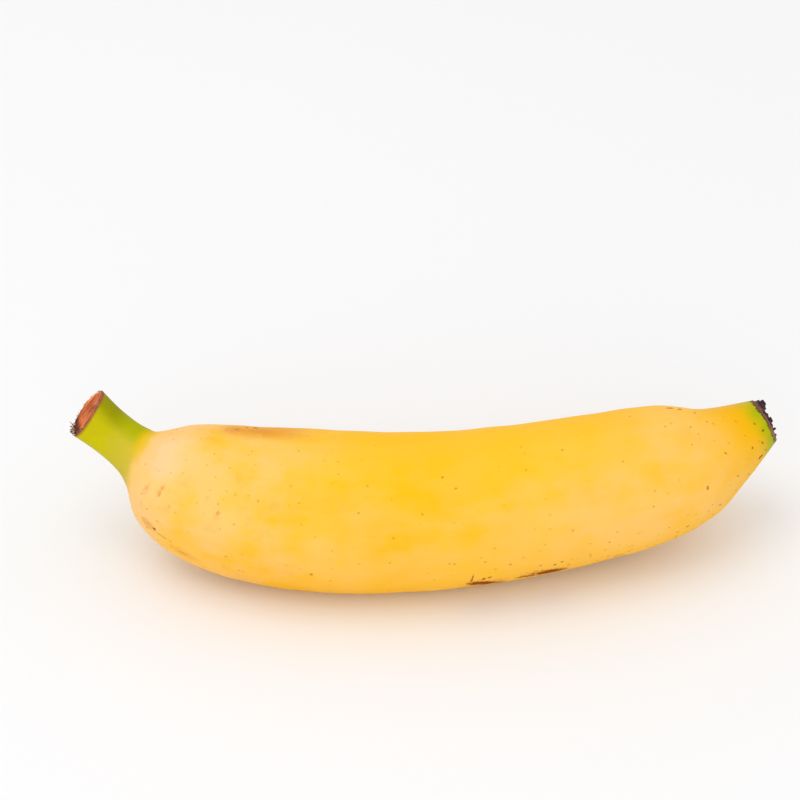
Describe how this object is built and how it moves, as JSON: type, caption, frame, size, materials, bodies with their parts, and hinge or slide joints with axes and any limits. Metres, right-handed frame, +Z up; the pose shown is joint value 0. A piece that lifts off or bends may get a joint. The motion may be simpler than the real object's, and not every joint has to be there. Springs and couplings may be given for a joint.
{
  "type": "banana",
  "caption": "Whole ripe yellow banana lying on its side, gently bent, with a slanting cut on its green stem and a dry dark blossom end.",
  "frame": {"origin": "middle of the bounding box, on the surface that the banana lies on", "axes": "+X from the stem cut to the blossom end, +Y towards the inner curve, +Z up"},
  "size_m": [0.1952, 0.0542, 0.0447],
  "materials": {
    "peel": "smooth waxy yellow peel, green at the stem and the tip, with small brown specks",
    "stem_cut": "dry rusty brown cut with coarse fibres",
    "blossom": "dry ragged dark brown flower remains"
  },
  "bodies": {
    "root": {"banana": "peel"}
  },
  "joints": []
}
